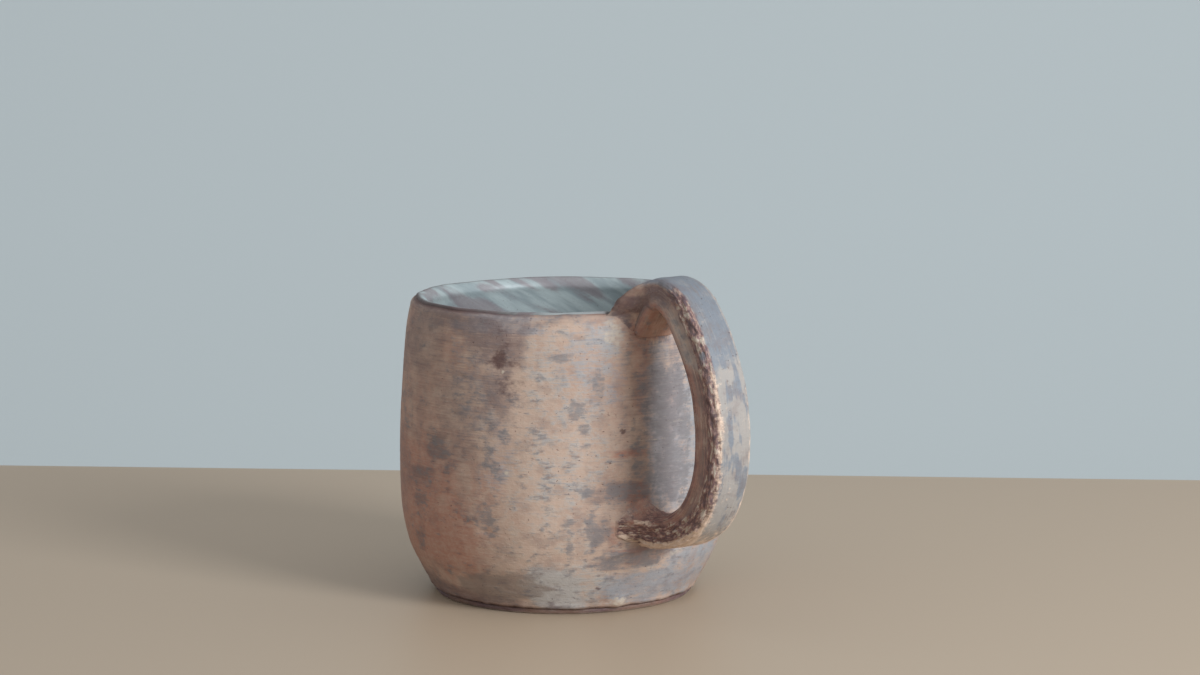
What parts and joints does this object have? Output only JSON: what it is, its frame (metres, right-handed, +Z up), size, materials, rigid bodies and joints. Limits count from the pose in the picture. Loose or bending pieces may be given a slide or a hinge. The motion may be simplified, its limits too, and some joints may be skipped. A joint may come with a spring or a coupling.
{
  "type": "ceramic mug",
  "caption": "Hand-built stoneware mug with a swelling wall, a glazed inside and a strap handle luted to the rim and the lower body.",
  "frame": {"origin": "centre of the flat face that the mug rests on", "axes": "+Z up along the axis of the bowl, +X out through the middle of the handle, +Y completes a right-handed frame"},
  "size_m": [0.1353, 0.0992, 0.1004],
  "materials": {
    "slip_clay": "matte peach clay under a worn grey-blue slip",
    "handle_clay": "matte grey-blue and cream slip, rough edges",
    "weld_clay": "matte brown smeared clay",
    "bare_clay": "matte unglazed terracotta",
    "glaze": "glossy pale celadon with mauve brush strokes"
  },
  "bodies": {
    "root": {"base_slab": "bare_clay", "body_wall": "slip_clay", "floor_seam_coil": "bare_clay", "interior_glaze": "glaze", "handle_strap": "handle_clay", "upper_handle_weld": "weld_clay", "lower_handle_weld": "weld_clay"}
  },
  "joints": []
}
